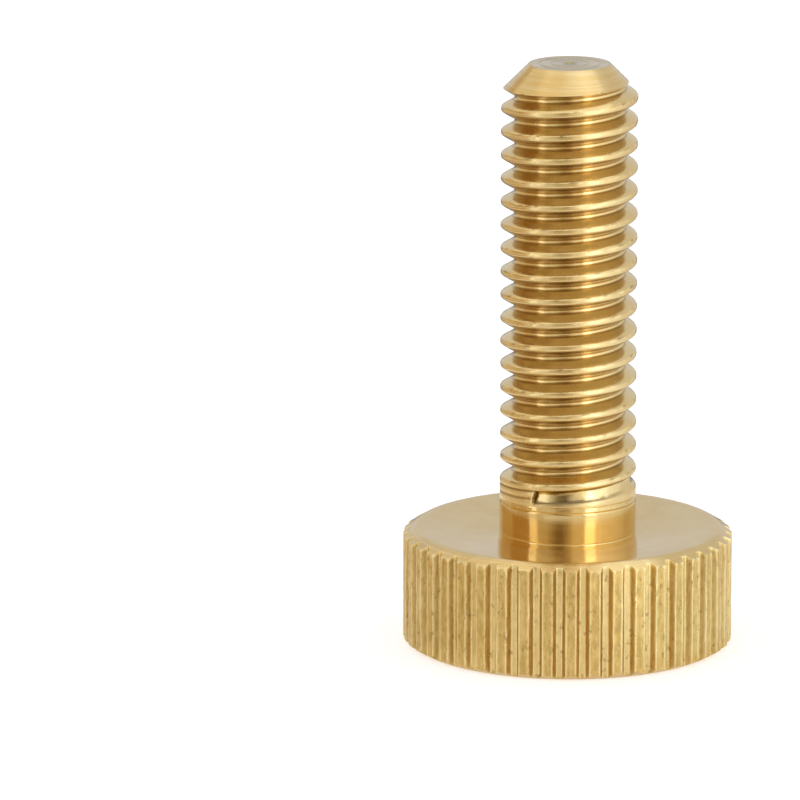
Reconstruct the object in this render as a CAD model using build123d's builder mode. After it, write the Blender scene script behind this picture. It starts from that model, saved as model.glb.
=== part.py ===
from build123d import *
import os
from math import ceil, radians, tan

os.makedirs("parts", exist_ok=True)

# A thumb screw: a straight-knurled head, a short plain neck and a coarse right-hand thread,
# all turned, knurled and cut from one brass bar.
# It stands on its head. The origin is the centre of the head's outer face, +Z runs along the
# shank to the tip, and angles are measured round +Z from +X, so that -90 is the front.

# Head, in millimetres and degrees
head_diameter = 14.0  # over the crests of the knurl
head_height = 5.0  # outer face to bearing rim
outer_chamfer = 0.4  # radial width of the chamfer round the outer face
bearing_chamfer = 0.52  # radial width of the chamfer round the bearing face
chamfer_rise = 30  # both chamfers, measured from the faces
bearing_land = 0.25  # width of the flat rim that seats
bearing_relief = 0.37  # how far the face inside the rim is dished at the neck

# Straight knurl: flat-bottomed grooves with sloping walls, all the way up the head
knurl_count = 44
knurl_depth = 0.26
knurl_mouth = 0.54  # width of a groove at the teeth's crests
knurl_floor = 0.3  # width of its bottom
knurl_start = -94  # middle of one groove

# Shank
shank_diameter = 5.8
shank_length = 20.0  # bearing rim to tip
neck_length = 1.55  # bearing rim to the end of the plain neck
tip_diameter = 3.46  # the flat at the tip
tip_chamfer = 45  # measured from the tip's flat

# Thread
thread_pitch = 1.0
thread_angle = 60  # between the two flanks of a groove
crest_width = 0.22
crest_polish = 0.005  # the die leaves the crests a hair under the plain neck
lead_in = 0.95  # pitches from the first crest, where it crosses +X, up to the end of the neck
runout_length = 1.0  # over which the first groove deepens above the neck

# Heights and radii that follow
bearing_z = head_height
neck_top = bearing_z + neck_length
tip_z = bearing_z + shank_length
head_radius = head_diameter / 2
neck_radius = shank_diameter / 2
tip_radius = tip_diameter / 2
outer_face_radius = head_radius - outer_chamfer
bearing_radius = head_radius - bearing_chamfer
chamfer_slope = tan(radians(chamfer_rise))
knurl_slope = (knurl_mouth - knurl_floor) / 2 / knurl_depth
crest_radius = neck_radius - crest_polish
thread_depth = (thread_pitch - crest_width) / 2 / tan(radians(thread_angle / 2))
root_radius = crest_radius - thread_depth

# Overlaps that let the joins and cuts run clean through
weld = 0.1
spare = 1.0
core_radius = root_radius - weld / 2


# One turn of the thread: a ridge a full pitch wide, so that it meets the next turn at the root
with BuildPart() as turn:
    with BuildLine() as root_line:
        Helix(pitch=thread_pitch, height=thread_pitch, radius=root_radius)
    with BuildSketch(Plane.XZ) as ridge_section:
        with BuildLine():
            Polyline(
                (root_radius - weld, -thread_pitch / 2),
                (root_radius, -thread_pitch / 2),
                (crest_radius, -crest_width / 2),
                (crest_radius, crest_width / 2),
                (root_radius, thread_pitch / 2),
                (root_radius - weld, thread_pitch / 2),
                close=True,
            )
        make_face()
    sweep(path=root_line.line, is_frenet=True)

with BuildPart() as thumb_screw:
    # The head's blank, chamfered at both faces: a flat for each tooth, its corners where the
    # grooves come
    for height, flat_radius in (
        (0, outer_face_radius),
        (outer_chamfer * chamfer_slope, head_radius),
        (bearing_z - bearing_chamfer * chamfer_slope, head_radius),
        (bearing_z, bearing_radius),
    ):
        with BuildSketch(Plane.XY.offset(height)):
            RegularPolygon(flat_radius, knurl_count, major_radius=False, rotation=knurl_start)
    loft(ruled=True)

    # The knurl, cut through both chamfers
    with BuildSketch() as knurl:
        with PolarLocations(head_radius, knurl_count, start_angle=knurl_start):
            Polygon(
                (-knurl_depth, -knurl_floor / 2),
                (-knurl_depth, knurl_floor / 2),
                (weld, knurl_mouth / 2 + weld * knurl_slope),
                (weld, -knurl_mouth / 2 - weld * knurl_slope),
                align=(Align.NONE, Align.NONE),
            )
    extrude(amount=bearing_z, mode=Mode.SUBTRACT)

    # The dished bearing face, which leaves a flat rim to seat on
    with BuildSketch(Plane.XZ) as dish:
        with BuildLine():
            Polyline(
                (0, bearing_z - bearing_relief),
                (neck_radius, bearing_z - bearing_relief),
                (bearing_radius - bearing_land, bearing_z),
                (bearing_radius - bearing_land, bearing_z + spare),
                (0, bearing_z + spare),
                close=True,
            )
        make_face()
    revolve(axis=Axis.Z, mode=Mode.SUBTRACT)

    # The plain neck, and the core that the thread stands on
    with BuildSketch(Plane.XZ) as shank:
        with BuildLine():
            Polyline(
                (0, bearing_z / 2),
                (neck_radius, bearing_z / 2),
                (neck_radius, neck_top),
                (core_radius, neck_top + runout_length),
                (core_radius, tip_z + spare),
                (0, tip_z + spare),
                close=True,
            )
        make_face()
    revolve(axis=Axis.Z)

    # The thread, a turn at a time, from inside the neck to beyond the tip
    first_crest = neck_top - lead_in * thread_pitch
    turns = ceil((tip_z - first_crest) / thread_pitch + 0.5)
    with Locations(*[(0, 0, first_crest + n * thread_pitch) for n in range(turns)]):
        add(turn.part)

    # The tip faced off, with a chamfer that runs through the last turns
    chamfer_reach = neck_radius + spare
    chamfer_foot = tip_z - (chamfer_reach - tip_radius) * tan(radians(tip_chamfer))
    with BuildSketch(Plane.XZ) as tip_cut:
        with BuildLine():
            Polyline(
                (0, tip_z),
                (tip_radius, tip_z),
                (chamfer_reach, chamfer_foot),
                (chamfer_reach, tip_z + thread_pitch + spare),
                (0, tip_z + thread_pitch + spare),
                close=True,
            )
        make_face()
    revolve(axis=Axis.Z, mode=Mode.SUBTRACT)

thumb_screw.part.label = "thumb_screw"
export_step(thumb_screw.part, "parts/thumb_screw.step")
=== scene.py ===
from math import cos, radians, sin, tan

import bmesh
import bpy
import numpy as np
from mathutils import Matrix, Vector, noise


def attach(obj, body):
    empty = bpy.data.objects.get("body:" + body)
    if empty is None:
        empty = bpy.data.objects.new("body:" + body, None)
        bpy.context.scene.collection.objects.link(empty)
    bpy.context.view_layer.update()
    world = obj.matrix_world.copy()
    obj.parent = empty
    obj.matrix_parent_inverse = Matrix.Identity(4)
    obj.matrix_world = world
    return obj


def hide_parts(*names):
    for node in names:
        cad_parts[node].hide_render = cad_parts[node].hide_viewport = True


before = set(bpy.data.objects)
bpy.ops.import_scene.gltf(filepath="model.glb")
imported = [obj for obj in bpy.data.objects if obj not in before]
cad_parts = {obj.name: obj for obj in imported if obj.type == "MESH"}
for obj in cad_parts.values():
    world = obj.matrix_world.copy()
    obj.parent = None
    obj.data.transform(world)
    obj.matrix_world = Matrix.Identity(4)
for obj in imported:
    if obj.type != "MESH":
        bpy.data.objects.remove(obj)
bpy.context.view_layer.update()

# The dressed thumb screw, standing on its head with +Z along the shank. Everything is in metres,
# and mm brings a length in millimetres to metres. Angles are in degrees round +Z from +X, so that
# -90 is the front.
mm = 0.001

# Head
solid_radius = 7.0 * mm  # which the burrs of the knurl reach
head_radius = 6.99 * mm  # between them
bearing_z = 5.0 * mm
outer_face_radius = 6.6 * mm
bearing_radius = 6.48 * mm
relief_radius = 6.23 * mm
relief_depth = 0.37 * mm
chamfer_slope = tan(radians(30))
edge_round = 0.03 * mm
knurl_foot = 0.2 * mm  # about where the knurled side meets the lower chamfer
knurl_top = 4.8 * mm  # and the upper one

# Straight knurl: flutes with a flat floor and sloping walls, placed across from a flute's middle
flute_count = 44
flute_start = -94
flute_wander = 0.15  # how far a flute strays from its even place, in degrees
flute_uneven = 0.1  # share by which its width and its depth vary
flute_depth = 0.26 * mm
flute_mouth = 0.27 * mm  # half a flute's width at the crests
flute_floor = 0.15 * mm  # and at its floor
mouth_round = 0.018 * mm
floor_round = 0.03 * mm
burr_place = flute_mouth + 0.03 * mm
burr_height = 0.03 * mm
burr_width = 0.04 * mm
draw_height = 0.012 * mm  # of the upright marks that the wheel draws
dent_height = 0.01 * mm
pit_depth = 0.08 * mm
pit_limit = 0.22  # of the noise, past which a tooth is pitted

# Shank and thread
neck_radius = 2.9 * mm
crest_radius = 2.893 * mm
thread_foot = bearing_z + 1.3 * mm
collar_top = bearing_z + 1.45 * mm  # up to here the run-out is as smooth as the neck
pitch = 1.0 * mm
groove_depth = 0.57 * mm
mouth_half = 0.39 * mm
crest_round = 0.05 * mm
root_round = 0.022 * mm
flank_slope = tan(radians(30))
groove_rise = 0.0975 * mm  # height of a groove's middle over the bearing rim, where it crosses +X
scuff_depth = 0.06 * mm
tip_z = 25.0 * mm
tip_radius = 1.73 * mm

# Where the die stopped: the first groove starts with a step and grows over its run-out. Places
# along it are in turns from where it crosses +X
step_turns = 1.659
step_wall = 0.0015
step_bow = 0.008  # how far the step bows back at its top
runout_turns = 0.85
first_depth = 0.14 * mm
first_low_edge = 0.22 * mm  # from the groove's middle down to its edge
early_low_edge = 0.16 * mm  # the same a quarter of the way along the run-out
first_high_edge = 0.34 * mm
floor_lean = 0.32  # how fast the first groove's floor deepens towards its upper side
step_hollow = 0.07 * mm  # extra depth just past the step
marks_reach = 0.25  # how far back the die's marks go
fade = 8  # how fast marks fade out at their ends, per turn

# Fineness
head_gap = 0.55  # widest gap between two columns of the head, in degrees
least_gap = 0.1
side_rows = 30
shank_columns = 92
turns = 22
weld = 0.0002 * mm
sharp_angle = 38


def wobble(points, scale, seed=0.0):
    """Smooth noise from -1 to 1 over an array of points, with features about 1 / scale across."""
    flat = points.reshape(-1, 3) * scale + seed
    return np.array([noise.noise(Vector(p)) for p in flat]).reshape(points.shape[:-1])


def soft_floor(value, softness):
    """value where it is above 0, and 0 below it, with the corner rounded."""
    return softness * np.logaddexp(0, value / softness)


def line_mark(distance, wide):
    """A soft line, 1 at its middle, over an array of distances from it."""
    return np.exp(-((distance / wide) ** 2))


def polar(angle, radius, height):
    """Points from angles in degrees, radii and heights, any of them arrays."""
    angle, radius, height = np.broadcast_arrays(np.radians(angle), radius, height)
    return np.stack([radius * np.cos(angle), radius * np.sin(angle), height], axis=-1)


def add_object(name, data):
    """Puts a mesh or a camera into the scene."""
    made = bpy.data.objects.new(name, data)
    bpy.context.scene.collection.objects.link(made)
    return made


faced, turned, threaded, knurled, polished, cut_off = range(6)
points, quads, slots = [], [], []
marks = {"stain_and_shade": [], "wear_and_highlight": []}


def add_grid(grid, slot, lead=0, stain_and_shade=0.0, wear_and_highlight=0.0):
    """Takes in a grid of rows by columns, closed round the axis, with its material slot.
    With a lead, the last column joins the first one that many rows up, as a thread does.
    One mark darkens the brass with stains and painted shade, the other brightens it with wear and
    painted highlights."""
    rows, columns = grid.shape[:2]
    index = sum(len(p) for p in points) + np.arange(rows * columns).reshape(rows, columns)
    after = np.roll(index, -1, axis=1)
    if lead:
        after[:-lead, -1] = index[lead:, 0]
        index, after = index[:-lead], after[:-lead]
    corners = np.stack([index[:-1], after[:-1], after[1:], index[1:]], axis=-1).reshape(-1, 4)
    points.append(grid.reshape(-1, 3))
    marks["stain_and_shade"].append(np.broadcast_to(stain_and_shade, (rows, columns)).ravel())
    marks["wear_and_highlight"].append(np.broadcast_to(wear_and_highlight, (rows, columns)).ravel())
    quads.append(corners)
    slots.append(np.full(len(corners), slot))


# The head's columns: one at every feature of each flute, with the gaps between them filled
even_angles = flute_start + 360 / flute_count * np.arange(flute_count)
even_spots = polar(even_angles, head_radius, 0.0)
flute_angles = even_angles + flute_wander * wobble(even_spots, 1700, 4.0)
flute_widths = 1 + flute_uneven * wobble(even_spots, 1900, 11.0)
flute_places = np.array([0, 0.07, 0.115, 0.15, 0.18, 0.225, 0.255, 0.275, 0.305, 0.35]) * mm

features = []
for angle, width in zip(flute_angles, flute_widths):
    aside = np.degrees(flute_places * width / head_radius)
    features += [*(angle - aside), *(angle + aside)]
features = np.unique(np.round(np.mod(features, 360), 3))
head_angles = [features[0]]
for angle in [*features[1:], features[0] + 360]:
    last = head_angles[-1]
    gap = angle - last
    if gap < least_gap:
        continue
    parts = int(np.ceil(gap / head_gap))
    head_angles += [last + gap * (n + 1) / parts for n in range(parts)]
head_angles = np.array(head_angles[:-1])

around = np.mod(head_angles[:, None] - flute_angles + 180, 360) - 180
nearest = np.abs(around).argmin(axis=1)
across = np.radians(np.take_along_axis(around, nearest[:, None], axis=1)[:, 0]) * head_radius
from_middle = np.abs(across) / flute_widths[nearest]
wall_slope = flute_depth / (flute_mouth - flute_floor)


def knurled_radius(height):
    """The head's radius at each column, at one height: the flutes, their burrs and torn spots."""
    depth_spots = polar(flute_angles, head_radius, height * 0.35)
    depth = flute_depth * (1 + flute_uneven * wobble(depth_spots, 900, 3.0))[nearest]
    cut = soft_floor((flute_mouth - from_middle) * wall_slope, mouth_round)
    cut = depth - soft_floor(depth - cut, floor_round)
    burr_spots = polar(flute_angles, head_radius, height)
    burr = burr_height * (0.5 + 0.7 * wobble(burr_spots, 1500, 9.0))[nearest]
    burr = burr * line_mark(from_middle - burr_place, burr_width)
    skin = polar(head_angles, head_radius, height)
    rough = draw_height * wobble(skin * (1, 1, 0.2), 3200, 1.0) + dent_height * wobble(skin, 3000, 6.0)
    on_tooth = np.clip(1 - cut / (0.1 * mm), 0.25, 1)
    pits = pit_depth * soft_floor(wobble(skin * (1, 1, 0.8), 2300, 5.0) - pit_limit, 0.03) * on_tooth
    return np.minimum(head_radius - cut + burr + rough - pits, solid_radius)


def rings_between(start_radius, end_radius, start_height, end_height, shares):
    """Rings of the head at shares of the way from one radius and height to another."""
    return [
        polar(
            head_angles,
            start_radius + (end_radius - start_radius) * share,
            start_height + (end_height - start_height) * share,
        )
        for share in shares
    ]


# The knurled side, between the two chamfers that the flutes run out through
side_r = np.array([knurled_radius(z) for z in np.linspace(knurl_foot, knurl_top, side_rows)])
low_r, high_r = side_r[0], side_r[-1]
low_end = np.maximum(low_r - outer_face_radius, 0) * chamfer_slope
high_end = bearing_z - np.maximum(high_r - bearing_radius, 0) * chamfer_slope
side_z = low_end + (high_end - low_end) * np.linspace(0, 1, side_rows)[:, None]

outer_rings = [
    polar(head_angles, (outer_face_radius - edge_round) * share, 0.0) for share in (0.02, 0.5, 1)
]
low_chamfer = rings_between(outer_face_radius, low_r, 0, low_end, (0.06, 0.3, 0.6, 0.9, 1))
high_chamfer = rings_between(high_r, bearing_radius, high_end, bearing_z, (0, 0.12, 0.25, 0.6, 0.94))
land = [
    polar(head_angles, radius, bearing_z)
    for radius in (
        bearing_radius - edge_round,
        (bearing_radius + relief_radius) / 2,
        relief_radius + edge_round,
    )
]
dish_slope = relief_depth / (relief_radius - neck_radius)
dish = [
    polar(head_angles, radius, bearing_z - (relief_radius - radius) * dish_slope)
    for radius in np.linspace(relief_radius, neck_radius - 0.15 * mm, 4)
]

# The flutes' worn edges get painted highlights, at the burrs and along the floor, and their walls get
# painted shade
side_spots = polar(head_angles, head_radius, side_z)
patchy = np.clip(0.75 + 0.6 * wobble(side_spots * (1, 1, 0.3), 1800, 7.0), 0, 1)
burr_highlight = line_mark(from_middle - burr_place, 0.035 * mm)
corner_highlight = 0.9 * line_mark(from_middle - flute_floor + 0.035 * mm, 0.03 * mm)
floor_highlight = 0.35 * np.clip((flute_floor - from_middle) / (0.05 * mm), 0, 1)
side_highlight = np.maximum((burr_highlight + corner_highlight) * (0.35 + 0.65 * patchy), floor_highlight)
wall_shade = line_mark(from_middle - (flute_mouth + flute_floor) / 2, 0.045 * mm)

# The flutes' worn upper ends get painted highlights too
lip = np.clip(1.3 - from_middle / (flute_mouth + 0.07 * mm), 0, 0.3) / 0.3
lip_highlight = np.minimum(1.4 * lip * patchy[-1], 1)
side_highlight[-1] = np.maximum(side_highlight[-1], lip_highlight)
chamfer_highlight = np.outer((1, 0.3, 0, 0, 0, 0), lip_highlight)

add_grid(np.array(outer_rings), faced)
add_grid(np.array([outer_rings[-1]] + low_chamfer), turned)
add_grid(polar(head_angles, side_r, side_z), knurled, stain_and_shade=wall_shade, wear_and_highlight=side_highlight)
add_grid(np.array(high_chamfer + [land[0]]), turned, wear_and_highlight=chamfer_highlight)
add_grid(np.array(land + dish), faced)

# The shank: rows that climb with the thread, drawn closer where its section turns, and columns
# drawn closer at the step. Rows are placed in pitches from the groove's middle
half_places = np.array([0.02, 0.06, 0.1, 0.17, 0.26, 0.33, 0.365, 0.39, 0.415, 0.445, 0.48])
row_places = np.concatenate([-half_places[::-1], half_places])
step_angle = step_turns % 1 * 360
step_places = np.array([-2.8, -2.2, -1.6, -1.0, -0.4, 0, 0.4, 0.8, 1.2, 1.6, 2.0, 2.6, 3.4])
step_middle = step_angle + (step_places[0] + step_places[-1]) / 2
step_clearance = 3.4  # degrees to the nearest even column
even_columns = np.arange(shank_columns) * 360 / shank_columns
even_columns = even_columns[np.abs(even_columns - step_middle) > step_clearance]
shank_angles = np.sort(np.append(even_columns, step_angle + step_places))

groove_turn = np.arange(turns)[:, None, None] + shank_angles / 360
offset = np.broadcast_to(row_places[None, :, None] * pitch, (turns, len(row_places), len(shank_angles)))
height = bearing_z + groove_rise + groove_turn * pitch + offset
spots = polar(shank_angles, crest_radius, height)

# The groove. Its first turn starts at a curved step, flat and narrow on its lower side, and
# reaches its full depth and width over its run-out
run = np.clip((groove_turn - step_turns) / runout_turns, 0, 1)
low_edge = np.interp(run, (0, 0.25, 1), (first_low_edge, early_low_edge, mouth_half))
high_edge = np.interp(run, (0, 0.25), (first_high_edge, mouth_half))
groove_floor = first_depth + (groove_depth - first_depth) * run**2 + floor_lean * offset * (1 - run)
groove_floor = groove_floor + step_hollow * line_mark(run, 0.07)
cut = soft_floor(np.minimum(offset + low_edge, high_edge - offset) / flank_slope, crest_round)
cut = groove_floor - soft_floor(groove_floor - cut, root_round)
bow = step_bow * (np.maximum(offset + 0.25 * mm, 0) / (0.6 * mm)) ** 2
past_step = groove_turn - step_turns - bow
cut = np.maximum(cut, 0) * np.clip(past_step / step_wall, 0, 1)

# Before the step the die left a bead and lines along the thread, each line with a place, a width
# and a strength. A ring runs round the collar below them
bead_gap = 0.0035  # turns from the step to the bead's middle
bead_width = 0.0022
bead_height = 0.007 * mm
line_depth = 0.03 * mm
ring_depth = 0.014 * mm
ring_z = bearing_z + 1.42 * mm
die_lines = ((0.33, 0.04, 1), (0.0, 0.04, 0.9), (-0.2, 0.025, 0.5), (-0.47, 0.04, 0.8))
before = (past_step < 0) * np.clip((marks_reach + past_step) * fade, 0, 1)
bead = line_mark(past_step + bead_gap, bead_width) * (offset > -0.3 * mm) * (offset < 0.33 * mm)
lines = sum(
    strength * line_mark(offset - place * mm, wide * mm) for place, wide, strength in die_lines
)
lines = lines * before * (1 - bead)
collar_ring = line_mark(height - ring_z, 0.03 * mm)
cut = cut + line_depth * lines + ring_depth * collar_ring - bead_height * bead

# Painted shade darkens the first groove's corners, behind the step and in the lines
in_groove = past_step > 0
early = np.clip((0.3 - run) * fade, 0, 1) * in_groove
from_corner = np.maximum(np.abs(offset + low_edge - 0.03 * mm) - 0.035 * mm, 0)
corner_shade = line_mark(from_corner, 0.03 * mm) * early
step_shade = line_mark(past_step - 0.0018, 0.0022) * (offset > -low_edge) * (offset < high_edge)
from_ceiling = offset - high_edge + 0.02 * mm
ceiling_shade = 0.8 * line_mark(from_ceiling, 0.035 * mm) * (run < 0.5) * in_groove

# Its floor is rough at first and patchy, with a darker spot between two spots of painted highlight
bright_turns = 1.688
dull_turns = 1.735
bright_again_turns = 1.825
floor_roughness = 0.03 * mm
inside = (offset > -low_edge + 0.05 * mm) * (offset < high_edge - 0.06 * mm) * in_groove
dull_patch = 0.55 * line_mark(groove_turn - dull_turns, 0.028) * inside
bright_patch = line_mark(groove_turn - bright_turns, 0.014)
bright_patch = bright_patch + (np.abs(groove_turn - bright_again_turns) < 0.04)
bright_patch = bright_patch * inside * np.clip(0.7 + 1.5 * wobble(spots, 3300, 21.0), 0, 1)
cut = cut + floor_roughness * wobble(spots, 3600, 23.0) * inside * (run < 0.35)
# The bead and a bright line before the step are painted highlights
bright_line = 0.8 * line_mark(offset + 0.29 * mm, 0.05 * mm) * before
shank_stain_and_shade = np.clip(corner_shade + step_shade + ceiling_shade + 0.85 * lines + dull_patch, 0, 1)
shank_wear_and_highlight = np.clip(bead + bright_line + bright_patch, 0, 1)

# Where the thread is full, its crests' upper edges are frayed: flecks of painted highlight between small
# dark chips, both placed down from the groove's middle above
fleck_place = 0.425 * mm
chip_place = 0.395 * mm
full = (groove_turn > 2) * (height < tip_z - 1.3 * mm)
highlight_flecks = np.clip(3.0 * wobble(spots, 3400, 14.0), 0, 1) * full
chips = np.clip(3.0 * wobble(spots, 3100, 17.0) - 0.5, 0, 1) * full
shank_wear_and_highlight = np.maximum(shank_wear_and_highlight, highlight_flecks * line_mark(offset + fleck_place, 0.05 * mm))
shank_stain_and_shade = np.maximum(shank_stain_and_shade, 0.8 * chips * line_mark(offset + chip_place, 0.03 * mm))

# The turns follow on from one another as rows of one long grid, with scuffs on the crests
cut, height, shank_stain_and_shade, shank_wear_and_highlight = (
    values.reshape(-1, len(shank_angles)) for values in (cut, height, shank_stain_and_shade, shank_wear_and_highlight)
)
skin = polar(shank_angles, crest_radius, height)
on_crest = np.clip(1 - cut / (0.1 * mm), 0, 1) * (height > bearing_z + 2 * mm)
scuffs = scuff_depth * soft_floor(wobble(skin * (1, 1, 1.3), 2300, 2.0) - 0.2, 0.05) * on_crest
radius = crest_radius - cut - scuffs + 0.004 * mm * wobble(skin, 2500, 8.0) * (cut > 0)

# The cone at the tip: the row nearest to where it meets the thread is moved onto that line
over = radius - (tip_radius + tip_z - height)
crossing = (over[:-1] * over[1:] < 0) & (height[:-1] < tip_z)
for row, column in zip(*np.nonzero(crossing)):
    part = over[row, column] / (over[row, column] - over[row + 1, column])
    moved = row if part < 0.5 else row + 1
    for values in (height, radius):
        start, end = values[row, column], values[row + 1, column]
        values[moved, column] = start + part * (end - start)
radius = np.minimum(radius, tip_radius + np.maximum(tip_z - height, 0))
height = np.clip(height, thread_foot, tip_z)
radius = np.where(height <= thread_foot, neck_radius, radius)
thread = polar(shank_angles, radius, height)
add_grid(thread, threaded, lead=len(row_places), stain_and_shade=shank_stain_and_shade, wear_and_highlight=shank_wear_and_highlight)

# The neck, with a fine ring near its top and one near its foot. Each row has a height over the
# bearing rim and a depth below the neck's skin
neck_rows = [(1.3, 0), (1.27, 0), (1.24, 0), (1.2, 0.02), (1.16, 0), (1.12, 0), (0.5, 0), (-0.09, 0)]
neck_rows += [(-0.12, 0), (-0.15, 0.014), (-0.18, 0), (-0.21, 0), (-0.42, 0)]
neck = [polar(shank_angles, neck_radius - sink * mm, bearing_z + z * mm) for z, sink in neck_rows]
add_grid(np.array(neck[::-1]), polished)

# The tip, cut off with fine rings round a small dimple, its rim darker and its sunk rings and dimple
# darkened with painted shade. Each row has a radius, a depth below the tip and a share of that darkening
tip_rows = [(1.73, 0, 0.5), (1.69, 0, 0.35), (1.65, 0, 0), (1.32, 0, 0), (1.28, 0.015, 0.35)]
tip_rows += [(1.24, 0, 0), (0.82, 0, 0), (0.78, 0.015, 0.35), (0.74, 0, 0), (0.3, 0, 0)]
tip_rows += [(0.2, 0.06, 0.3), (0.02, 0.1, 0.6)]
tip = [polar(shank_angles, r * mm, tip_z - sink * mm) for r, sink, dark in tip_rows]
add_grid(np.array(tip), cut_off, stain_and_shade=np.array([[dark] for r, sink, dark in tip_rows]))

# One mesh of all the grids. The cone's faces are turned, the collar's as smooth as the neck's
mesh = bpy.data.meshes.new("thumb_screw_dressed")
mesh.from_pydata(np.concatenate(points), [], np.concatenate(quads))
mesh.polygons.foreach_set("material_index", np.concatenate(slots).astype(np.int32))
for name, values in marks.items():
    mesh.attributes.new(name, "FLOAT", "POINT").data.foreach_set("value", np.concatenate(values))
shell = bmesh.new()
shell.from_mesh(mesh)
bmesh.ops.remove_doubles(shell, verts=shell.verts, dist=weld)
bmesh.ops.dissolve_degenerate(shell, edges=shell.edges, dist=weld)
for face in shell.faces:
    centre = face.calc_center_median()
    cone_radius = tip_radius + tip_z - centre.z
    if face.material_index == threaded and centre.xy.length > cone_radius - 0.02 * mm:
        face.material_index = turned
    if face.material_index == threaded and centre.z < collar_top:
        face.material_index = polished
bmesh.ops.recalc_face_normals(shell, faces=shell.faces)
shell.to_mesh(mesh)
shell.free()
mesh.shade_smooth()
mesh.set_sharp_from_angle(angle=radians(sharp_angle))
screw = add_object("thumb_screw_dressed", mesh)


# Brass, in six finishes
mix_first, mix_second, mix_result = 6, 7, 2  # a Mix node's sockets for colours


class Nodes:
    """A material's nodes, with short calls for the few kinds used here."""

    def __init__(self, name):
        self.material = bpy.data.materials.new(name)
        self.material.use_nodes = True
        self.tree = self.material.node_tree
        self.shader = self.tree.nodes["Principled BSDF"]
        self.place = self.node("ShaderNodeTexCoord").outputs["Object"]

    def node(self, kind, **settings):
        made = self.tree.nodes.new(kind)
        for key, value in settings.items():
            setattr(made, key, value)
        return made

    def link(self, source, socket):
        self.tree.links.new(source, socket)

    def math(self, operation, *values):
        made = self.node("ShaderNodeMath", operation=operation)
        for socket, value in zip(made.inputs, values):
            if isinstance(value, (int, float)):
                socket.default_value = value
            else:
                self.link(value, socket)
        return made.outputs[0]

    def stretched(self, factors):
        """The place on the screw with its three coordinates multiplied, for drawn-out noise."""
        made = self.node("ShaderNodeVectorMath", operation="MULTIPLY")
        self.link(self.place, made.inputs[0])
        made.inputs[1].default_value = factors
        return made.outputs[0]

    def noise(self, vector, scale, detail=3.0, roughness=0.55):
        made = self.node("ShaderNodeTexNoise")
        made.inputs["Scale"].default_value = scale
        made.inputs["Detail"].default_value = detail
        made.inputs["Roughness"].default_value = roughness
        self.link(vector, made.inputs["Vector"])
        return made.outputs["Fac"]

    def ramp(self, value, low, high, to_low, to_high):
        made = self.node("ShaderNodeMapRange", interpolation_type="SMOOTHSTEP")
        made.inputs["From Min"].default_value = low
        made.inputs["From Max"].default_value = high
        made.inputs["To Min"].default_value = to_low
        made.inputs["To Max"].default_value = to_high
        self.link(value, made.inputs["Value"])
        return made.outputs["Result"]

    def mix(self, factor, first, second):
        made = self.node("ShaderNodeMix", data_type="RGBA")
        self.link(factor, made.inputs["Factor"])
        for place, value in ((mix_first, first), (mix_second, second)):
            if isinstance(value, tuple):
                made.inputs[place].default_value = (*value, 1.0)
            else:
                self.link(value, made.inputs[place])
        return made.outputs[mix_result]

    def bump(self, height, distance):
        made = self.node("ShaderNodeBump")
        made.inputs["Distance"].default_value = distance
        made.inputs["Strength"].default_value = 1.0
        self.link(height, made.inputs["Height"])
        self.link(made.outputs["Normal"], self.shader.inputs["Normal"])

    def mark(self, name):
        """A mark that the mesh carries: its stains and painted shade, or its wear and painted
        highlights.
        """
        return self.node("ShaderNodeAttribute", attribute_name=name).outputs["Fac"]

    def from_axis(self):
        """The distance from the screw's axis."""
        length = self.node("ShaderNodeVectorMath", operation="LENGTH")
        self.link(self.stretched((1.0, 1.0, 0.0)), length.inputs[0])
        return length.outputs["Value"]

    def up(self):
        """How far the surface faces up, from -1 to 1."""
        split = self.node("ShaderNodeSeparateXYZ")
        self.link(self.node("ShaderNodeNewGeometry").outputs["Normal"], split.inputs[0])
        return split.outputs["Z"]

    def rings(self):
        """Coordinates that change fast across the marks of a lathe tool, on a neck, a cone or a
        face, and slowly along them."""
        split = self.node("ShaderNodeSeparateXYZ")
        self.link(self.place, split.inputs[0])
        across = self.math("SUBTRACT", self.from_axis(), split.outputs["Z"])
        joined = self.node("ShaderNodeCombineXYZ")
        for axis in "XY":
            self.link(self.math("MULTIPLY", split.outputs[axis], 0.04), joined.inputs[axis])
        self.link(across, joined.inputs["Z"])
        return joined.outputs[0]

    def finish(self, colour, roughness):
        """Makes the shader metal, with this colour and roughness."""
        self.shader.inputs["Metallic"].default_value = 1.0
        self.link(colour, self.shader.inputs["Base Color"])
        self.link(roughness, self.shader.inputs["Roughness"])
        return self.material


brass = (0.81, 0.61, 0.28)
warm_brass = (0.77, 0.55, 0.23)
flank = (0.87, 0.68, 0.34)
warm_flank = (0.83, 0.62, 0.29)
pale_brass = (0.86, 0.68, 0.38)
dull_brass = (0.68, 0.56, 0.34)
grey_brass = (0.55, 0.48, 0.33)
# Pale brass for painted highlights and worn spots
worn_and_highlight_brass = (1.0, 0.82, 0.42)
tooth = (0.67, 0.45, 0.15)
dark_tooth = (0.57, 0.375, 0.11)
light_tooth = (0.90, 0.66, 0.27)
# Dark colours for painted shade, also used for stains and the knurl's torn spots
flute_wall_shade = (0.46, 0.36, 0.17)
dark_shade_and_stain = (0.10, 0.06, 0.025)
shade_and_tarnish = (0.30, 0.18, 0.06)


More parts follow.
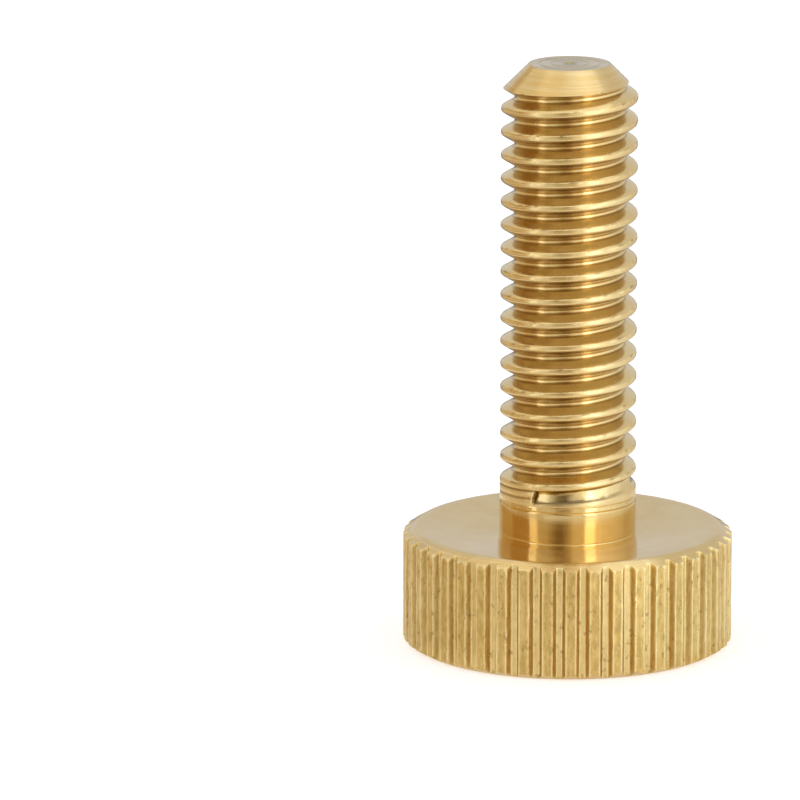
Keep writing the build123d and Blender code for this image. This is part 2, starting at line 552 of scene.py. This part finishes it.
def lathe_brass(name, light, deep, roughness, anisotropy, ring_scale, ring_depth, streaks):
    """Brass as a lathe tool leaves it, with fine rings that spread its reflections across them and
    a share of paler streaks."""
    nodes = Nodes(name)
    rings = nodes.rings()
    fine = nodes.noise(rings, ring_scale, 2.0)
    broad = nodes.noise(nodes.place, 700, 4.0)
    colour = nodes.mix(nodes.ramp(broad, 0.3, 0.7, 0.0, 1.0), deep, light)
    streak = nodes.noise(rings, ring_scale * 0.4, 4.0, 0.6)
    colour = nodes.mix(nodes.ramp(streak, 0.42, 0.62, 0.0, streaks), colour, pale_brass)
    # The mesh's marks darken it with stains and painted shade, and brighten it with wear and painted
    # highlights
    colour = nodes.mix(nodes.math("MULTIPLY", nodes.mark("stain_and_shade"), 0.75), colour, dark_shade_and_stain)
    colour = nodes.mix(nodes.mark("wear_and_highlight"), colour, worn_and_highlight_brass)
    nodes.shader.inputs["Anisotropic"].default_value = anisotropy
    nodes.shader.inputs["Anisotropic Rotation"].default_value = 0.25
    tangent = nodes.node("ShaderNodeTangent", direction_type="RADIAL", axis="Z")
    nodes.link(tangent.outputs["Tangent"], nodes.shader.inputs["Tangent"])
    nodes.bump(fine, ring_depth)
    return nodes.finish(colour, nodes.ramp(fine, 0.3, 0.7, roughness * 0.8, roughness * 1.25))


def thread_brass():
    """Brass as a die leaves it: drawn along the thread and scuffed on the crests, with painted shade
    beside the roots and under the ridges."""
    nodes = Nodes("brass_threaded")
    radius = nodes.from_axis()
    drawn = nodes.noise(nodes.rings(), 7000, 3.0)
    scuff = nodes.noise(nodes.place, 2600, 4.0, 0.6)
    broad = nodes.noise(nodes.place, 450, 3.0)
    colour = nodes.mix(nodes.ramp(broad, 0.35, 0.65, 0.0, 1.0), warm_flank, flank)
    colour = nodes.mix(nodes.ramp(scuff, 0.55, 0.72, 0.0, 0.7), colour, pale_brass)
    # Painted shade beside the roots and on faces turned down under the ridges
    above_root = nodes.ramp(radius, 2.345 * mm, 2.375 * mm, 0.0, 1.0)
    below_flank = nodes.ramp(radius, 2.38 * mm, 2.48 * mm, 0.55, 0.0)
    shade_beside_root = nodes.math("MULTIPLY", above_root, below_flank)
    shade_under_ridge = nodes.ramp(nodes.up(), -0.7, -0.35, 0.65, 0.0)
    colour = nodes.mix(nodes.math("MAXIMUM", shade_beside_root, shade_under_ridge), colour, shade_and_tarnish)
    colour = nodes.mix(nodes.math("MULTIPLY", nodes.mark("stain_and_shade"), 0.9), colour, dark_shade_and_stain)
    colour = nodes.mix(nodes.mark("wear_and_highlight"), colour, worn_and_highlight_brass)
    crest = nodes.ramp(radius, 2.80 * mm, 2.87 * mm, 0.0, 1.0)
    rough = nodes.ramp(scuff, 0.35, 0.75, 0.17, 0.28)
    rough = nodes.math("ADD", rough, nodes.math("MULTIPLY", crest, 0.1))
    crest_share = nodes.math("ADD", nodes.math("MULTIPLY", crest, 3.0), 0.5)
    scuffed = nodes.math("MULTIPLY", scuff, crest_share)
    nodes.bump(nodes.math("ADD", drawn, scuffed), 0.0025 * mm)
    return nodes.finish(colour, rough)


def knurl_brass():
    """Brass as a knurling wheel leaves it: drawn upright and torn here and there, with painted shade on
    the flutes' walls and painted highlights on their worn edges."""
    nodes = Nodes("brass_knurled")
    drawn = nodes.noise(nodes.stretched((1.0, 1.0, 0.12)), 5000, 4.0, 0.6)
    torn = nodes.noise(nodes.stretched((1.0, 1.0, 0.6)), 4200, 5.0, 0.65)
    grain = nodes.noise(nodes.stretched((1.0, 1.0, 0.35)), 6500, 4.0, 0.65)
    wear_and_highlight = nodes.mark("wear_and_highlight")
    colour = nodes.mix(nodes.ramp(drawn, 0.35, 0.65, 0.0, 1.0), dark_tooth, tooth)
    colour = nodes.mix(nodes.ramp(grain, 0.35, 0.7, 0.0, 0.6), colour, light_tooth)
    # Painted shade on the flutes' walls
    colour = nodes.mix(nodes.math("MULTIPLY", nodes.mark("stain_and_shade"), 0.35), colour, flute_wall_shade)
    colour = nodes.mix(wear_and_highlight, colour, worn_and_highlight_brass)
    colour = nodes.mix(nodes.ramp(torn, 0.33, 0.42, 0.6, 0.0), colour, shade_and_tarnish)
    rough = nodes.ramp(drawn, 0.3, 0.7, 0.3, 0.46)
    rough = nodes.math("SUBTRACT", rough, nodes.math("MULTIPLY", wear_and_highlight, 0.12))
    nodes.bump(nodes.math("ADD", drawn, torn), 0.02 * mm)
    return nodes.finish(colour, rough)


# In the order of the slots
for material in (
    lathe_brass(
        "brass_faced", brass, warm_brass, roughness=0.16, anisotropy=0.6,
        ring_scale=14000, ring_depth=0.0006 * mm, streaks=0.1,
    ),
    lathe_brass(
        "brass_turned", brass, warm_brass, roughness=0.24, anisotropy=0.8,
        ring_scale=11000, ring_depth=0.0014 * mm, streaks=0.7,
    ),
    thread_brass(),
    knurl_brass(),
    lathe_brass(
        "brass_polished", brass, warm_brass, roughness=0.15, anisotropy=0.5,
        ring_scale=9000, ring_depth=0.0004 * mm, streaks=0.1,
    ),
    lathe_brass(
        "brass_cut_off", dull_brass, grey_brass, roughness=0.2, anisotropy=0.7,
        ring_scale=12000, ring_depth=0.0014 * mm, streaks=0.2,
    ),
):
    mesh.materials.append(material)

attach(screw, "root")
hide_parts("thumb_screw")


# Studio: soft cards all round the screw, which only its reflections see. Turns are in degrees from
# the camera's side, positive to the right.
card_radius = 0.6
card_top = 0.86
card_split = 0.14  # height at which the front cards change their glow
wall_height = 0.36  # of the warm wall on the left
card_lift = 0.3 * mm
near_floor = 8 * mm
far_floor = 30 * mm
warm_floor = 70 * mm
facet = 15  # widest facet of a card, in degrees

white = (1.0, 1.0, 1.0)
cream = (1.0, 0.93, 0.8)
near_white = (1.0, 0.97, 0.92)
warm_white = (1.0, 0.96, 0.9)
cool_white = (0.94, 0.98, 1.0)
cooler_white = (0.95, 0.96, 1.0)
cool = (0.85, 0.92, 1.0)
tan_brown = (1.0, 0.78, 0.5)
amber = (1.0, 0.61, 0.21)


def glowing(name, colour, glow):
    """A material that only gives light."""
    material = bpy.data.materials.new(name)
    material.use_nodes = True
    tree = material.node_tree
    tree.nodes.clear()
    emission = tree.nodes.new("ShaderNodeEmission")
    emission.inputs["Color"].default_value = (*colour, 1.0)
    emission.inputs["Strength"].default_value = glow
    output = tree.nodes.new("ShaderNodeOutputMaterial")
    tree.links.new(emission.outputs[0], output.inputs["Surface"])
    return material


def card(name, start, end, profile, colour, glow):
    """A glowing card swept round the screw from one turn to another, with radii and heights."""
    steps = int(np.ceil((end - start) / facet)) + 1
    corners = []
    for turn in np.radians(np.linspace(start, end, steps)):
        corners += [(radius * sin(turn), -radius * cos(turn), height) for radius, height in profile]
    rows = len(profile)
    faces = []
    for step in range(steps - 1):
        for row in range(rows - 1):
            corner = step * rows + row
            faces.append((corner, corner + 1, corner + rows + 1, corner + rows))
    sheet = bpy.data.meshes.new(name)
    sheet.from_pydata(corners, [], faces)
    sheet.materials.append(glowing(name, colour, glow))
    made = add_object(name, sheet)
    made.visible_camera = False
    made.visible_diffuse = False
    made.visible_shadow = False


# Cards that reach in over the floor and stand up round the screw
floor_part = [(far_floor, card_lift), (card_radius, card_lift)]
upright = floor_part + [(card_radius, card_top)]
front_low = floor_part + [(card_radius, card_split)]
front_high = [(card_radius, card_split), (card_radius, card_top)]
card("card_back_foot", 150, 210, floor_part, cool, 0.3)
card("card_back", 150, 210, [(card_radius, card_lift), (card_radius, card_top)], cooler_white, 0.72)
card("strip_left", -70, -54, upright, white, 1.35)
for start, end, colour, glow in (
    (-54, -30, cream, 0.72),
    (-30, -22, cream, 0.64),
    (-22, -14, tan_brown, 0.52),
    (-14, 1, tan_brown, 0.44),
    (1, 7, tan_brown, 0.62),
    (7, 29, cream, 0.9),
):
    card(f"card_front_{start}", start, end, front_low, colour, glow)
for start, end, colour, glow in (
    (-54, -36, cream, 0.68),
    (-36, -29, cream, 0.52),
    (-29, -22, tan_brown, 0.38),
    (-22, -8, tan_brown, 0.24),
    (-8, -1, tan_brown, 0.42),
    (-1, 6, cream, 0.6),
    (6, 29, cream, 0.9),
):
    card(f"card_front_high_{start}", start, end, front_high, colour, glow)
card("box_right", 29, 47, upright, white, 2.4)
for start, end, glow in ((47, 60, 1.3), (60, 72, 1.15), (72, 84, 1.05), (84, 96, 0.95), (96, 110, 0.85)):
    card(f"card_right_{start}", start, end, upright, white, glow)
card("card_right_back", 110, 150, upright, near_white, 0.72)

# On the left they are a warm wall with a warm foot, and pale between
foot = [(far_floor, card_lift), (warm_floor, card_lift)]
apron = [(warm_floor, card_lift), (card_radius, card_lift)]
wall = [(card_radius, card_lift), (card_radius, wall_height)]
wall_top = [(card_radius, wall_height), (card_radius, card_top)]
for name, start, end, colour, glow in (
    ("card_left", -110, -70, amber, 0.48),
    ("card_left_back", -150, -110, tan_brown, 0.6),
):
    card(name + "_foot", start, end, foot, colour, glow)
    card(name + "_apron", start, end, apron, cream, 0.7)
    card(name + "_wall", start, end, wall, colour, glow)
    card(name + "_top", start, end, wall_top, cream, 0.85)

# Cards close to the head, and overhead
close = [(near_floor, card_lift), (far_floor, card_lift)]
card("floor_left", -90, -40, close, cream, 0.72)
card("floor_left_back", -170, -90, close, warm_white, 0.92)
card("floor_right", 25, 110, close, cool_white, 1.02)
overhead = [(card_radius, card_top), (0.01, card_top)]
card("roof_front", -30, 30, overhead, white, 1.1)
card("roof_right", 30, 150, overhead, white, 1.2)
card("roof_back", 150, 210, overhead, cream, 1.2)
card("roof_left", -150, -30, overhead, cream, 1.0)

# Floor and world: white behind the screw, also in its reflections, with its soft shadow kept
floor_half = 2
square = ((-1, -1), (1, -1), (1, 1), (-1, 1))
floor_corners = [(x * floor_half, y * floor_half, 0) for x, y in square]
floor_sheet = bpy.data.meshes.new("floor")
floor_sheet.from_pydata(floor_corners, [], [(0, 1, 2, 3)])
add_object("floor", floor_sheet)


def to_eye(tree, to_others, to_reflections, to_camera, socket):
    """Sets a strength apart for the camera, for reflections and for all other light."""
    factor, first, second = 0, 2, 3  # a Mix node's sockets for numbers
    path = tree.nodes.new("ShaderNodeLightPath")
    strength = to_others
    choices = (("Is Glossy Ray", to_reflections), ("Is Transmission Ray", to_reflections))
    for name, value in choices + (("Is Camera Ray", to_camera),):
        mix = tree.nodes.new("ShaderNodeMix")
        mix.data_type = "FLOAT"
        tree.links.new(path.outputs[name], mix.inputs[factor])
        if isinstance(strength, float):
            mix.inputs[first].default_value = strength
        else:
            tree.links.new(strength, mix.inputs[first])
        mix.inputs[second].default_value = value
        strength = mix.outputs[0]
    tree.links.new(strength, socket)


floor_material = bpy.data.materials.new("floor_white")
floor_material.use_nodes = True
base = floor_material.node_tree.nodes["Principled BSDF"]
base.inputs["Base Color"].default_value = (0.82, 0.82, 0.82, 1.0)
base.inputs["Roughness"].default_value = 0.9
base.inputs["Specular IOR Level"].default_value = 0.0
base.inputs["Emission Color"].default_value = (1.0, 1.0, 1.0, 1.0)
to_eye(floor_material.node_tree, 0.0, 0.36, 0.55, base.inputs["Emission Strength"])
floor_sheet.materials.append(floor_material)

world = bpy.data.worlds.new("studio")
world.use_nodes = True
backdrop = world.node_tree.nodes["Background"]
backdrop.inputs["Color"].default_value = (1.0, 1.0, 1.0, 1.0)
to_eye(world.node_tree, 0.7, 1.0, 1.0, backdrop.inputs["Strength"])
bpy.context.scene.world = world

# Camera
look_down = 13.113  # degrees below level
eye = bpy.data.cameras.new("camera")
eye.sensor_width = 36
eye.lens = 345.4
eye.clip_start = 0.01
camera = add_object("camera", eye)
camera.location = (-7.134 * mm, -317.13 * mm, 84.36 * mm)
camera.rotation_euler = (radians(90 - look_down), 0, 0)
bpy.context.scene.camera = camera
bpy.context.scene.view_settings.view_transform = "Standard"
